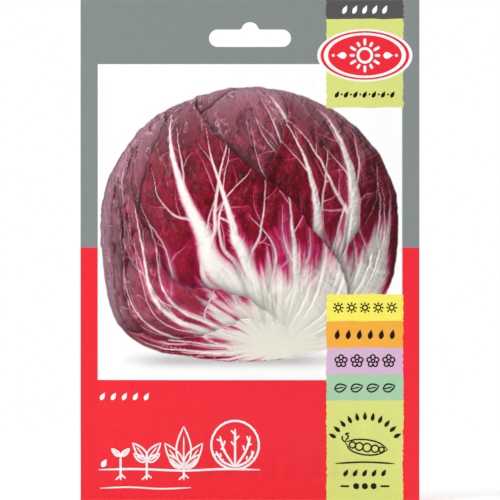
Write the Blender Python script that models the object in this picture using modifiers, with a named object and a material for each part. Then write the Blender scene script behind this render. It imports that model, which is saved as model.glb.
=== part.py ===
"""Seed packet, hanging from its slot: two webs of printed film sealed to each other round a fill of seed.

Metres, +Z up. The front faces -Y, and the seal between the webs lies in the plane y = 0.
The origin is the top of the hang slot's hump, where a shop peg carries the packet.
"""

import math

import bmesh
import bpy
from mathutils import Vector

MM = 0.001

# Outline of the flat packet
PACKET_WIDTH = 132.0 * MM
PACKET_HEIGHT = 195.0 * MM
SIDE_SEAL = 6.9 * MM
BOTTOM_SEAL = 8.0 * MM
HEADER = 25.1 * MM

# Hang slot: a bar with round ends, and a hump of the bar's own end radius on its top
SLOT_WIDTH = 32.0 * MM
SLOT_END_RADIUS = 3.4 * MM
HUMP_RISE = 2.9 * MM
HUMP_FILLET = 1.0 * MM
SLOT_TOP_BELOW_EDGE = 8.7 * MM

# Film, and the joint line between the two webs
FILM = 0.3 * MM
JOINT_GAP = 0.3 * MM

# Swell of each web over the seed: a membrane under a pressure that fades up the packet
CROWN = 3.4 * MM
SEED_PRESSURE_FADE = 30.0 * MM
AIR_PRESSURE_SHARE = 0.16
MEMBRANE_TERMS = 9

# Seed fill, which lies against both webs at the bottom of the pocket
FILL_HEIGHT = 60.0 * MM
FILL_CLEARANCE = 0.35 * MM
FILL_SIDE_MARGIN = 9.0 * MM
FILL_FOOT_MARGIN = 7.0 * MM
FILL_EDGE_HALF_THICKNESS = 0.3 * MM
FILL_FOOT_ROUNDING = 0.1
FILL_CREST_ROUNDING = 0.04
FILL_HEAP = 0.08
GRAIN_RELIEF = 0.5 * MM
GRAIN_COLUMNS = 40
GRAIN_ROWS = 20

# Mesh stations inside the pocket, and steps of each arc of the slot
POCKET_COLUMNS = 18
POCKET_ROWS = 24
ARC_STEPS = 8

# The slot's cutter runs through both webs, and its caps are welded to its sides
CUTTER_HALF_LENGTH = 3.0 * MM
WELD_DISTANCE = 0.001 * MM

# Places that follow from the sizes above
TOP_Z = SLOT_TOP_BELOW_EDGE
BOTTOM_Z = TOP_Z - PACKET_HEIGHT
POCKET_TOP_Z = TOP_Z - HEADER
POCKET_FOOT_Z = BOTTOM_Z + BOTTOM_SEAL
POCKET_HEIGHT = POCKET_TOP_Z - POCKET_FOOT_Z
POCKET_HALF_WIDTH = PACKET_WIDTH / 2 - SIDE_SEAL
HUMP_Z = -SLOT_END_RADIUS
BAR_Z = HUMP_Z - HUMP_RISE

FILM_GREY = (0.26, 0.28, 0.28, 1)
BACK_WHITE = (0.85, 0.85, 0.83, 1)
SEED_TAN = (0.36, 0.25, 0.15, 1)


def sine_share(n):
    """The pressure's n-th sine up the pocket: the seed's part, which fades, and the air's even part."""
    wave = n * math.pi / POCKET_HEIGHT
    fade = 1 / SEED_PRESSURE_FADE
    ends = 1 - (-1) ** n * math.exp(-POCKET_HEIGHT * fade)
    seed = 2 / POCKET_HEIGHT * wave * ends / (wave**2 + fade**2)
    air = 2 / (n * math.pi) * (1 - (-1) ** n)
    return seed + AIR_PRESSURE_SHARE * air


def membrane(x, z):
    """Unscaled swell of a web held flat all round the pocket: Poisson's equation as a double sine series."""
    swell = 0.0
    for i in range(MEMBRANE_TERMS):
        m = 2 * i + 1
        across = m * math.pi / (2 * POCKET_HALF_WIDTH)
        even_share = 4 * (-1) ** i / (m * math.pi)
        for n in range(1, 2 * MEMBRANE_TERMS):
            up = n * math.pi / POCKET_HEIGHT
            swell += (
                even_share
                * sine_share(n)
                * math.cos(across * x)
                * math.sin(up * (z - POCKET_FOOT_Z))
                / (across**2 + up**2)
            )
    return swell


MEMBRANE_PEAK = max(
    membrane(0, POCKET_FOOT_Z + POCKET_HEIGHT * k / 100) for k in range(1, 100)
)


def swell(x, z):
    """Height of a web's inner face above its place in the flat seal."""
    inside = abs(x) < POCKET_HALF_WIDTH and POCKET_FOOT_Z < z < POCKET_TOP_Z
    return CROWN * max(0.0, membrane(x, z)) / MEMBRANE_PEAK if inside else 0.0


def stations(low, high, count):
    """Evenly spaced stations from low to high, both ends included."""
    return [low + (high - low) * k / count for k in range(count + 1)]


def grid(name, xs, zs):
    """A flat grid object in the XZ plane with its lines at xs and zs."""
    bm = bmesh.new()
    bmesh.ops.create_grid(
        bm, x_segments=len(xs) - 1, y_segments=len(zs) - 1, size=1.0
    )
    for vert in bm.verts:
        column = round((vert.co.x + 1) / 2 * (len(xs) - 1))
        row = round((vert.co.y + 1) / 2 * (len(zs) - 1))
        vert.co = Vector((xs[column], 0.0, zs[row]))
    mesh = bpy.data.meshes.new(name)
    bm.to_mesh(mesh)
    bm.free()
    return bpy.data.objects.new(name, mesh)


def arc(centre, radius, start, end):
    """Points on an arc in the XZ plane, from one angle to another in degrees."""
    points = []
    for k in range(ARC_STEPS + 1):
        angle = math.radians(start + (end - start) * k / ARC_STEPS)
        points.append(
            (
                centre[0] + radius * math.cos(angle),
                centre[1] + radius * math.sin(angle),
            )
        )
    return points


def slot_outline():
    """The hang slot's outline, anticlockwise from the bar's right end."""
    end_x = SLOT_WIDTH / 2 - SLOT_END_RADIUS
    bar_top_z = BAR_Z + SLOT_END_RADIUS
    fillet_z = bar_top_z + HUMP_FILLET
    reach = SLOT_END_RADIUS + HUMP_FILLET
    fillet_x = math.sqrt(reach**2 - (fillet_z - HUMP_Z) ** 2)
    lean = math.degrees(math.atan2(fillet_z - HUMP_Z, fillet_x))
    return (
        arc((end_x, BAR_Z), SLOT_END_RADIUS, -90, 90)
        + arc((fillet_x, fillet_z), HUMP_FILLET, 270, 180 + lean)
        + arc((0.0, HUMP_Z), SLOT_END_RADIUS, lean, 180 - lean)[1:-1]
        + arc((-fillet_x, fillet_z), HUMP_FILLET, -lean, -90)
        + arc((-end_x, BAR_Z), SLOT_END_RADIUS, 90, 270)
    )


def slot_cutter(cutters):
    """The slot's outline as a bar that runs through both webs."""
    curve = bpy.data.curves.new("slot_outline", "CURVE")
    curve.dimensions = "2D"
    curve.fill_mode = "BOTH"
    curve.extrude = CUTTER_HALF_LENGTH
    outline = slot_outline()
    spline = curve.splines.new("POLY")
    spline.points.add(len(outline) - 1)
    spline.use_cyclic_u = True
    for point, (x, z) in zip(spline.points, outline):
        point.co = (x, z, 0.0, 1.0)
    guide = bpy.data.objects.new("slot_guide", curve)
    guide.rotation_euler.x = math.radians(90)
    cutters.objects.link(guide)
    bpy.context.view_layer.update()
    evaluated = guide.evaluated_get(bpy.context.evaluated_depsgraph_get())
    mesh = bpy.data.meshes.new_from_object(evaluated)
    bm = bmesh.new()
    bm.from_mesh(mesh)
    bmesh.ops.remove_doubles(bm, verts=bm.verts, dist=WELD_DISTANCE)
    bmesh.ops.recalc_face_normals(bm, faces=bm.faces)
    bm.to_mesh(mesh)
    bm.free()
    cutter = bpy.data.objects.new("slot_cutter", mesh)
    cutter.matrix_world = guide.matrix_world
    cutter.hide_render = True
    cutter.display_type = "WIRE"
    bpy.data.objects.remove(guide)
    cutters.objects.link(cutter)
    return cutter


def web(name, side, cutter, parts):
    """One web of film, flat in the seals and header and swollen over the pocket. The front's side is -1."""
    edge = PACKET_WIDTH / 2
    xs = [
        -edge,
        *stations(-POCKET_HALF_WIDTH, POCKET_HALF_WIDTH, POCKET_COLUMNS),
        edge,
    ]
    zs = [BOTTOM_Z, *stations(POCKET_FOOT_Z, POCKET_TOP_Z, POCKET_ROWS), TOP_Z]
    sheet = grid(name, xs, zs)
    for vert in sheet.data.vertices:
        vert.co.y = side * (JOINT_GAP / 2 + swell(vert.co.x, vert.co.z))
    # The grid's own normals point to -Y, so the back's faces are turned round to face outwards
    if side > 0:
        sheet.data.flip_normals()
    sheet.data.shade_smooth()
    parts.objects.link(sheet)

    thickness = sheet.modifiers.new("film", "SOLIDIFY")
    thickness.thickness = FILM
    thickness.offset = 1.0
    thickness.use_even_offset = True

    punch = sheet.modifiers.new("hang_slot", "BOOLEAN")
    punch.operation = "DIFFERENCE"
    punch.object = cutter
    punch.solver = "EXACT"
    return sheet


def fill_half_thickness(x, z, crest):
    """Half the fill's thickness: up to the webs less a clearance, and lower between the grains' crests."""
    room = swell(x, z) + JOINT_GAP / 2 - FILL_CLEARANCE
    return max(FILL_EDGE_HALF_THICKNESS, room - (0.0 if crest else GRAIN_RELIEF))


def fill_place(across, up):
    """Place on the fill's face, for across from -1 to 1 and up from 0 to 1."""
    z_foot = POCKET_FOOT_Z + FILL_FOOT_MARGIN
    z = z_foot + FILL_HEIGHT * up * (1 - FILL_HEAP * across**2)
    taper = 1 - FILL_FOOT_ROUNDING * (1 - up) ** 4 - FILL_CREST_ROUNDING * up**4
    return (POCKET_HALF_WIDTH - FILL_SIDE_MARGIN) * across * taper, z


def seed_fill(parts):
    """The seed as one packed heap with a grain on its two faces at every other point of a grid."""
    bm = bmesh.new()
    bmesh.ops.create_grid(
        bm, x_segments=GRAIN_COLUMNS, y_segments=GRAIN_ROWS, size=1.0
    )
    rim = {vert for vert in bm.verts if vert.is_boundary}
    for vert in bm.verts:
        column = round((vert.co.x + 1) / 2 * GRAIN_COLUMNS)
        row = round((vert.co.y + 1) / 2 * GRAIN_ROWS)
        x, z = fill_place(vert.co.x, (vert.co.y + 1) / 2)
        y = fill_half_thickness(x, z, crest=(column + row) % 2 == 0)
        if vert in rim:
            y = FILL_EDGE_HALF_THICKNESS
        vert.co = Vector((x, y, z))
    # The other face is this one mirrored, and a strip round the rim joins the two
    copied = bmesh.ops.duplicate(bm, geom=bm.verts[:] + bm.edges[:] + bm.faces[:])
    for item in copied["geom"]:
        if isinstance(item, bmesh.types.BMVert):
            item.co.y = -item.co.y
    bmesh.ops.bridge_loops(bm, edges=[edge for edge in bm.edges if edge.is_boundary])
    bmesh.ops.recalc_face_normals(bm, faces=bm.faces)
    mesh = bpy.data.meshes.new("seed_fill")
    bm.to_mesh(mesh)
    bm.free()
    heap = bpy.data.objects.new("seed_fill", mesh)
    parts.objects.link(heap)
    return heap


def material(name, colour, roughness):
    made = bpy.data.materials.new(name)
    made.use_nodes = True
    shader = made.node_tree.nodes["Principled BSDF"]
    shader.inputs["Base Color"].default_value = colour
    shader.inputs["Roughness"].default_value = roughness
    shader.inputs["Metallic"].default_value = 0.0
    return made


def collection(name):
    made = bpy.data.collections.new(name)
    bpy.context.scene.collection.children.link(made)
    return made


def main():
    for obj in list(bpy.data.objects):
        bpy.data.objects.remove(obj)
    parts = collection("seed_packet")
    cutters = collection("cutters")
    cutter = slot_cutter(cutters)

    front = web("front_web", -1, cutter, parts)
    front.data.materials.append(material("front_film", FILM_GREY, 0.35))
    back = web("back_web", 1, cutter, parts)
    back.data.materials.append(material("back_film", BACK_WHITE, 0.4))
    seed = seed_fill(parts)
    seed.data.materials.append(material("seed", SEED_TAN, 0.7))


main()
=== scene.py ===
"""Looks of the seed packet: two webs of printed film, the printing on them, and the seed between them.

Metres, +Z up. The front faces -Y. The top of the hang slot's hump is the origin.
"""

import math
from collections import deque, namedtuple

import bmesh
import bpy
import numpy as np
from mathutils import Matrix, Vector


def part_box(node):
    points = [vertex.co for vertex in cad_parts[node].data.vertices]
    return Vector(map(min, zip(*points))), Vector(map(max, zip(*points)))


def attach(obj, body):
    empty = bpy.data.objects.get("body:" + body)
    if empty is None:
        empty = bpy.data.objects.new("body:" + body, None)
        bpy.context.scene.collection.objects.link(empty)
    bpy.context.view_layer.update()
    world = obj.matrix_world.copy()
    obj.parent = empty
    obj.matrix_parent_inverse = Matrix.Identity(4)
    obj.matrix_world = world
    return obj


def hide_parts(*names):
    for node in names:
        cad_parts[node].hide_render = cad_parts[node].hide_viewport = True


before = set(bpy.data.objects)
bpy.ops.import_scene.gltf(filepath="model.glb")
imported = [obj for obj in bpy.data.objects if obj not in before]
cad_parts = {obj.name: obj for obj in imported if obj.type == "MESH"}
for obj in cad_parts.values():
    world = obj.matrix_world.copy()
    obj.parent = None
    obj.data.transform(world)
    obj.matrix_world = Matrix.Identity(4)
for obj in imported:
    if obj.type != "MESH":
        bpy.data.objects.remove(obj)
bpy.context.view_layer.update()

bpy.ops.object.select_all(action="DESELECT")

MM = 0.001

# Sizes read from the frame: the packet's edges and its front
(LEFT, _, FOOT), (RIGHT, _, TOP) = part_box("front_web")
WIDTH = RIGHT - LEFT
HEIGHT = TOP - FOOT
CAD_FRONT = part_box("front_web")[0][1]

# Seals and header, as the solids have them
SIDE_SEAL = 6.9 * MM
BOTTOM_SEAL = 8.0 * MM
HEADER = 25.1 * MM
POCKET_HALF_WIDTH = WIDTH / 2 - SIDE_SEAL
POCKET_FOOT = FOOT + BOTTOM_SEAL
POCKET_TOP = TOP - HEADER
POCKET_HEIGHT = POCKET_TOP - POCKET_FOOT

# Hang slot: a bar with round ends and a hump on its top
SLOT_WIDTH = 32.0 * MM
SLOT_RADIUS = 3.4 * MM
HUMP_RISE = 2.9 * MM
HUMP_FILLET = 1.0 * MM
CUTTER_REACH = 4.0 * MM

# Seed fill: a heap in the foot of the pocket, and the seeds in it
FILL_HEIGHT = 60.0 * MM
FILL_SIDE_MARGIN = 9.0 * MM
FILL_FOOT_MARGIN = 7.0 * MM
FILL_HEAP = 0.08
SEED_LENGTH = 2.7 * MM
SEED_WIDTH = 1.15 * MM
SEED_THICKNESS = 0.8 * MM
SEED_SPACING = 2.95 * MM
SEED_ROOM = 0.4 * MM
LAYER_PITCH = 1.0 * MM
HEAP_SEED = 8

# Film and its swell. The creases take up what is left between CROWN and the solids' own height
FILM = 0.15 * MM
SEAL_HALF_GAP = 0.01 * MM
CROWN = 3.1 * MM
SEED_PRESSURE_FADE = 30.0 * MM
AIR_SHARE = 0.16
SERIES_TERMS = 9
FRONT_SEED = 5
BACK_SEED = 45

# Puckers along the pocket's edges: from fold to fold, how far they reach in, their height, how far in they
# start, and how far and how fast they wander along the edge
Folds = namedtuple("Folds", "pitch reach height start wander drift")
SIDE_FOLDS = Folds(7.8 * MM, 8.0 * MM, 0.34 * MM, 2.5 * MM, 3.0, 31.0 * MM)
FOOT_FOLDS = Folds(8.8 * MM, 12.0 * MM, 0.42 * MM, 2.5 * MM, 3.0, 23.0 * MM)
HEAD_FOLDS = Folds(15.0 * MM, 20.0 * MM, 0.16 * MM, 4.0 * MM, 2.5, 40.0 * MM)
SIDE_REACH_OVER_SEED = 5.0 * MM
FOLD_UNEVENNESS = 12.0 * MM

# Folds that fan out of the lower corners, broad dents, the marks of the seeds, and the ribs in the seals
FAN_PLACE = 17.0 * MM
FAN_BREADTH = 9.0 * MM
FAN_TURN = 14
FAN_HEIGHT = 0.18 * MM
DENT_SIZE = (34.0 * MM, 42.0 * MM)
DENT_HEIGHT = 0.26 * MM
GRAIN_SIZE = 3.2 * MM
GRAIN_HEIGHT = 0.07 * MM
RIB_PITCH = 2.4 * MM
RIB_HEIGHT = 0.03 * MM

# Where they fade, from the pocket's or the packet's edge
FOOT_FOLDS_FADE = 12.0 * MM
DENT_FADE = 14.0 * MM
DENT_TOP_FADE = 20.0 * MM
GRAIN_SIDE_FADE = (2.0 * MM, 16.0 * MM)
GRAIN_FOOT_FADE = (3.0 * MM, 14.0 * MM)
GRAIN_TOP_FADE = (82.0 * MM, 50.0 * MM)
RIB_START = (0.4 * MM, 1.0 * MM)
RIB_END = 1.2 * MM
RIB_TOP_FADE = 4.0 * MM

# Mesh steps of the film, of the painted picture, and of the ink drawn over them
FILM_COLUMNS = 146
FILM_ROWS = 296
PICTURE_STEP = 0.27 * MM
PICTURE_LIFT = 0.05 * MM
INK_LIFT = 0.09 * MM

# The printed design, in millimetres from the origin: x to the right, z up
WINDOW_X = 59.3
WINDOW_Z = (-139.4, -16.4)
RED_Z = (-200.0, -87.9)
ALL_ACROSS = (-100.0, 100.0)
TABS_X = (29.8, 59.7)
DARK_TAB_Z = (1.2, 12.0)
TOP_TAB_Z = (-33.4, 1.2)
YELLOW_Z = (-116.5, -106.0)
ORANGE_Z = (-126.8, -116.5)
LILAC_Z = (-137.2, -126.8)
MINT_Z = (-147.4, -137.2)
FOOT_TAB_Z = (-190.0, -147.4)
BADGE = (44.75, -13.0)
BADGE_RADIUS = 8.8
BADGE_OVAL = 0.55
BACK_HEADER_Z = (-16.4, 12.0)
BACK_FOOT_Z = (-190.0, -147.4)


def linear(red, green, blue):
    """A display colour from 0 to 255 as linear light."""
    return (np.array([red, green, blue]) / 255) ** 2.2


# Ink colours, as they show on white film under white light, and how much of it white film gives back
PRINT_WHITE = 0.93
WHITE = linear(255, 255, 255)
GREY = linear(134, 141, 141)
RED = linear(242, 46, 59)
DARK = linear(90, 87, 88)
LIME = linear(220, 227, 129)
YELLOW = linear(251, 241, 100)
ORANGE = linear(249, 176, 66)
LILAC = linear(218, 183, 215)
MINT = linear(169, 211, 173)
INK = linear(32, 23, 15)
HUSK_DARK = linear(92, 70, 48)
HUSK_PALE = linear(196, 172, 132)
FILM_ROUGHNESS = 0.35
HUSK_ROUGHNESS = 0.65

# Tabs from the top down, and the badge's rings from the outside in, as steps from its radius
TABS = (
    (DARK_TAB_Z, DARK),
    (TOP_TAB_Z, LIME),
    (YELLOW_Z, YELLOW),
    (ORANGE_Z, ORANGE),
    (LILAC_Z, LILAC),
    (MINT_Z, MINT),
    (FOOT_TAB_Z, LIME),
)
TAB_WAVINESS = 1.1
BADGE_RINGS = ((1.4, WHITE), (0.7, RED), (0.0, WHITE), (-0.9, RED))


# Surface of the film


def sine_share(n):
    """The pressure's n-th sine up the pocket: the seed's part, which fades, and the air's even part."""
    wave = n * math.pi / POCKET_HEIGHT
    fade = 1 / SEED_PRESSURE_FADE
    ends = 1 - (-1) ** n * math.exp(-POCKET_HEIGHT * fade)
    seed = 2 / POCKET_HEIGHT * wave * ends / (wave**2 + fade**2)
    air = 2 / (n * math.pi) * (1 - (-1) ** n)
    return seed + AIR_SHARE * air


ACROSS = np.array([(2 * i + 1) * math.pi / (2 * POCKET_HALF_WIDTH) for i in range(SERIES_TERMS)])
UP = np.array([n * math.pi / POCKET_HEIGHT for n in range(1, 2 * SERIES_TERMS)])
EVEN_SHARE = np.array([4 * (-1) ** i / ((2 * i + 1) * math.pi) for i in range(SERIES_TERMS)])
SERIES = (
    EVEN_SHARE[:, None]
    * np.array([sine_share(n) for n in range(1, 2 * SERIES_TERMS)])[None, :]
    / (ACROSS[:, None] ** 2 + UP[None, :] ** 2)
)


def membrane(x, z):
    """Unscaled swell of a web held flat all round the pocket."""
    cosines = np.cos(ACROSS[:, None] * x[None, :])
    sines = np.sin(UP[:, None] * (z[None, :] - POCKET_FOOT))
    return np.einsum("mn,mk,nk->k", SERIES, cosines, sines)


MEMBRANE_PEAK = membrane(np.zeros(200), np.linspace(POCKET_FOOT, POCKET_TOP, 200)).max()


def smooth(low, high, value):
    """0 at low and 1 at high, with a soft start and end."""
    t = np.clip((value - low) / (high - low), 0, 1)
    return t * t * (3 - 2 * t)


def noise(seed, x, y):
    """Smooth noise from -1 to 1 on a unit lattice."""
    table = np.random.default_rng(seed).uniform(-1, 1, (64, 64))
    column, row = np.floor(x).astype(int), np.floor(y).astype(int)
    fx, fy = x - column, y - row
    fx, fy = fx * fx * (3 - 2 * fx), fy * fy * (3 - 2 * fy)
    left, right, low, high = column % 64, (column + 1) % 64, row % 64, (row + 1) % 64
    below = table[low, left] * (1 - fx) + table[low, right] * fx
    above = table[high, left] * (1 - fx) + table[high, right] * fx
    return below * (1 - fy) + above * fy


def fractal(seed, x, y, octaves):
    """Noise with finer and fainter noise added."""
    return sum(noise(seed + k, x * 2**k, y * 2**k) / 2**k for k in range(octaves)) / 1.6


def pucker(phase):
    """A row of round folds with sharp valleys between them."""
    return 2 * np.abs(np.sin(phase / 2)) - 1.27


def fold_row(folds, seed, row, along, from_edge, reach):
    """Puckers that run in from an edge of the pocket. Each row has its own wander."""
    phase = folds.wander * noise(seed, along / folds.drift + 7, row)
    wave = pucker(2 * math.pi * along / folds.pitch + phase)
    return folds.height * np.exp(-from_edge / reach) * wave * smooth(0, folds.start, from_edge)


def uneven(seed, row, along):
    """How strong the puckers are along an edge."""
    return 0.6 + 0.4 * noise(seed, along / FOLD_UNEVENNESS + 7, row)


def creases(x, z, fullness, seed):
    """Height of the puckers, dents, folds and seed marks in a web, in metres."""
    from_side = POCKET_HALF_WIDTH - np.abs(x)
    from_foot = z - POCKET_FOOT
    from_top = POCKET_TOP - z
    row_fullness = membrane(0 * x, z) / MEMBRANE_PEAK
    row = np.sign(x) * 3 + 9
    reach = SIDE_FOLDS.reach + SIDE_REACH_OVER_SEED * row_fullness
    side = fold_row(SIDE_FOLDS, seed, row, z, from_side, reach) * uneven(seed + 15, row, z)
    side *= 0.2 + 0.8 * row_fullness
    foot = fold_row(FOOT_FOLDS, seed + 1, 4.5, x, from_foot, FOOT_FOLDS.reach) * uneven(seed + 16, 4.5, x)
    foot *= smooth(0, FOOT_FOLDS_FADE, from_side)
    head = fold_row(HEAD_FOLDS, seed + 2, 2.5, x, from_top, HEAD_FOLDS.reach)
    reach, turn = np.hypot(from_side, from_foot), np.arctan2(from_foot, from_side)
    fan = pucker(FAN_TURN * turn + np.sign(x)) * np.sin(2 * turn)
    fan *= np.exp(-(((reach - FAN_PLACE) / FAN_BREADTH) ** 2))
    dents = fractal(seed + 3, x / DENT_SIZE[0] + 11, z / DENT_SIZE[1] + 11, 3)
    dents *= smooth(0, DENT_FADE, from_side)
    dents *= smooth(0, DENT_FADE, from_foot) * smooth(0, DENT_TOP_FADE, from_top)
    grains = fractal(seed + 8, x / GRAIN_SIZE + 40, z / GRAIN_SIZE + 70, 2)
    grains *= smooth(*GRAIN_SIDE_FADE, from_side)
    grains *= smooth(*GRAIN_TOP_FADE, from_foot) * smooth(*GRAIN_FOOT_FADE, from_foot)
    bent = side + foot + head + FAN_HEIGHT * fan + DENT_HEIGHT * dents + GRAIN_HEIGHT * grains
    return np.maximum(bent, -0.6 * CROWN * fullness)


def crimp(x, z):
    """Fine ribs that the sealing jaws leave in the seals."""
    in_side = smooth(*RIB_START, np.abs(x) - POCKET_HALF_WIDTH) * smooth(0, RIB_END, WIDTH / 2 - np.abs(x))
    in_foot = smooth(*RIB_START, POCKET_FOOT - z) * smooth(0, RIB_END, z - FOOT)
    seal = np.maximum(in_side * smooth(0, RIB_TOP_FADE, POCKET_TOP - z), in_foot)
    return RIB_HEIGHT * seal * np.sin(2 * math.pi * z / RIB_PITCH)


def film_height(x, z, seed):
    """Height of a web's outer face above the middle of the packet."""
    inside = (np.abs(x) < POCKET_HALF_WIDTH) & (z > POCKET_FOOT) & (z < POCKET_TOP)
    fullness = np.where(inside, np.clip(membrane(x, z) / MEMBRANE_PEAK, 0, 1), 0)
    bent = np.where(inside, creases(x, z, fullness, seed), 0)
    return SEAL_HALF_GAP + FILM + CROWN * fullness + bent + crimp(x, z)


# Mesh helpers


def coordinates(mesh):
    """A mesh's vertices as an array."""
    flat = np.empty(len(mesh.vertices) * 3, np.float32)
    mesh.vertices.foreach_get("co", flat)
    return flat.reshape(-1, 3).astype(np.float64)


def place_vertices(mesh, points):
    """Moves a mesh's vertices to the points."""
    mesh.vertices.foreach_set("co", np.ascontiguousarray(points, np.float32).ravel())
    mesh.update()


def only(piece):
    """Makes a piece the one selected and active object."""
    bpy.ops.object.select_all(action="DESELECT")
    piece.select_set(True)
    bpy.context.view_layer.objects.active = piece


def apply_all(piece):
    """Applies a piece's modifiers, from the first to the last."""
    only(piece)
    for modifier in list(piece.modifiers):
        bpy.ops.object.modifier_apply(modifier=modifier.name)


def finish_piece(piece, material, slot, *nodes):
    """Gives a piece its material and its place in the frame."""
    piece.data.materials.clear()
    piece.data.materials.append(material)
    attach(piece, "root")
    if nodes:
        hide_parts(*nodes)


# Slot cutter


def arc(centre, radius, start, end, steps=12):
    """Points on an arc in the XZ plane, from one angle to another in degrees."""
    angles = [math.radians(start + (end - start) * k / steps) for k in range(steps + 1)]
    return [(centre[0] + radius * math.cos(a), centre[1] + radius * math.sin(a)) for a in angles]


def slot_cutter():
    """The hang slot as a solid that runs through both webs."""
    hump_z = -SLOT_RADIUS
    bar_z = hump_z - HUMP_RISE
    end_x = SLOT_WIDTH / 2 - SLOT_RADIUS
    fillet_z = bar_z + SLOT_RADIUS + HUMP_FILLET
    fillet_x = math.sqrt((SLOT_RADIUS + HUMP_FILLET) ** 2 - (fillet_z - hump_z) ** 2)
    lean = math.degrees(math.atan2(fillet_z - hump_z, fillet_x))
    outline = (
        arc((end_x, bar_z), SLOT_RADIUS, -90, 90)
        + arc((fillet_x, fillet_z), HUMP_FILLET, 270, 180 + lean)
        + arc((0.0, hump_z), SLOT_RADIUS, lean, 180 - lean)[1:-1]
        + arc((-fillet_x, fillet_z), HUMP_FILLET, -lean, -90)
        + arc((-end_x, bar_z), SLOT_RADIUS, 90, 270)
    )
    bpy.ops.mesh.primitive_circle_add(vertices=len(outline), fill_type="NGON")
    cutter = bpy.context.object
    cutter.name = "slot_cutter"
    place_vertices(cutter.data, [(x, -CUTTER_REACH, z) for x, z in outline])
    bpy.ops.object.mode_set(mode="EDIT")
    bpy.ops.mesh.select_all(action="SELECT")
    bpy.ops.mesh.extrude_region_move(TRANSFORM_OT_translate={"value": (0, 2 * CUTTER_REACH, 0)})
    bpy.ops.mesh.select_all(action="SELECT")
    bpy.ops.mesh.normals_make_consistent(inside=False)
    bpy.ops.object.mode_set(mode="OBJECT")
    return cutter


# Webs of film


def web(name, side, seed, cutter):
    """One web: a fine sheet laid over the swell, given the film's thickness and punched. Front is side -1."""
    bpy.ops.mesh.primitive_grid_add(x_subdivisions=FILM_COLUMNS, y_subdivisions=FILM_ROWS, size=1)
    sheet = bpy.context.object
    sheet.name = name
    points = coordinates(sheet.data)
    x = points[:, 0] * WIDTH
    z = (TOP + FOOT) / 2 + points[:, 1] * HEIGHT
    y = side * film_height(x, z, seed)
    place_vertices(sheet.data, np.stack([x, y, z], 1))
    if side > 0:
        sheet.data.flip_normals()
    wall = sheet.modifiers.new("film", "SOLIDIFY")
    wall.thickness = FILM
    wall.offset = -1
    punch = sheet.modifiers.new("slot", "BOOLEAN")
    punch.operation = "DIFFERENCE"
    punch.solver = "EXACT"
    punch.object = cutter
    apply_all(sheet)
    bpy.ops.object.shade_smooth_by_angle(angle=math.radians(35))
    return sheet


# Ink drawings, as strokes of a pen in the plane of the packet, in millimetres. A pen's size is half its line

TITLE_PEN, TITLE_FINE_PEN = 0.42, 0.33
BADGE_PEN = 0.52
TAB_PEN = 0.29
BACK_PEN = 0.22
TITLE_GROUND = -174.4
TAB_SEEDS_Z, LOWER_SEEDS_Z, DOTS_Z = -28.2, -175.6, -180.8
BACK_LINES_TOP, BACK_LINE_PITCH = -32.0, 5.2
BACK_GROUND = -127.0
MONTH_CELL = 8.4
MONTHS_Z = (-100.0, -90.0)
SOWING_MONTHS = (1, 2, 3, 7, 8)
SEED_LEAN = 60


def through(points, steps=6):
    """A smooth line through the points."""
    ends = [points[0], *points, points[-1]]
    line = []

    def between(p, q, r, s, t):
        bend, twist = 2 * p - 5 * q + 4 * r - s, 3 * q - p - 3 * r + s
        return 0.5 * (2 * q + (r - p) * t + bend * t**2 + twist * t**3)

    for span in zip(ends, ends[1:], ends[2:], ends[3:]):
        for k in range(steps):
            line.append(tuple(between(*values, k / steps) for values in zip(*span)))
    return line + [points[-1]]


def pen(points, half):
    """A stroke of a round pen: thinner at its two ends."""
    line = through(points)
    last = len(line) - 1
    stroke = []
    for k, (x, z) in enumerate(line):
        pressure = min(1, 6 * k / last, 6 * (last - k) / last)
        stroke.append((x, z, half * (0.35 + 0.65 * pressure)))
    return stroke


def at(centre, angle, distance):
    """The point at that distance and angle in degrees from the centre."""
    return (
        centre[0] + distance * math.cos(math.radians(angle)),
        centre[1] + distance * math.sin(math.radians(angle)),
    )


def ring(centre, radius, half, start=0, turn=360, squash=1.0):
    """A drawn circle, or a part of one, taller than broad where squash is over 1."""
    steps = max(8, int(abs(turn) / 15))
    points = []
    for k in range(steps + 1):
        x, z = at((0, 0), start + turn * k / steps, radius)
        points.append((centre[0] + x, centre[1] + z * squash, half))
    return points


def drop(centre, length, half, angle=90):
    """A filled seed or drop: round at its foot, pointed at its tip."""
    shape = (0.0, 0.62, 0.92, 1.0, 0.95, 0.78, 0.52, 0.26, 0.0)
    last = len(shape) - 1
    return [(*at(centre, angle, length * (k / last - 0.5)), half * s) for k, s in enumerate(shape)]


def drawn_leaf(foot, angle, length, width, half, bend=0.0):
    """A leaf's outline and midrib."""
    def edge(side):
        points = []
        for k in range(7):
            t = k / 6
            lean = angle + bend * t
            spine = at(foot, lean, length * t)
            points.append(at(spine, lean + 90 * side, width / 2 * math.sin(math.pi * t**0.8)))
        return pen(points, half)

    middle = [at(foot, angle + bend * t, length * t) for t in (0, 0.25, 0.5, 0.75)]
    return [edge(1), edge(-1), pen(middle, 0.8 * half)]


def sun(centre, radius, half, rays):
    """A round sun with rays, every second one longer."""
    strokes = [ring(centre, radius, half)]
    for k in range(rays):
        angle = 360 * k / rays
        tip = radius * (2.2 + 0.25 * (k % 2))
        strokes.append(pen([at(centre, angle, radius * 1.45), at(centre, angle, tip)], half))
    return strokes


def flower(centre, radius, half):
    """Five petals round an eye."""
    strokes = [ring(centre, 0.28 * radius, half)]
    for k in range(5):
        strokes.append(ring(at(centre, 90 + 72 * k, 0.66 * radius), 0.36 * radius, half, 72 * k - 50, 280))
    return strokes


def row(motif, count, pitch, centre):
    """A motif some times side by side, about the centre."""
    x, z = centre
    strokes = []
    for k in range(count):
        strokes += motif((x + pitch * (k - (count - 1) / 2), z))
    return strokes


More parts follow.
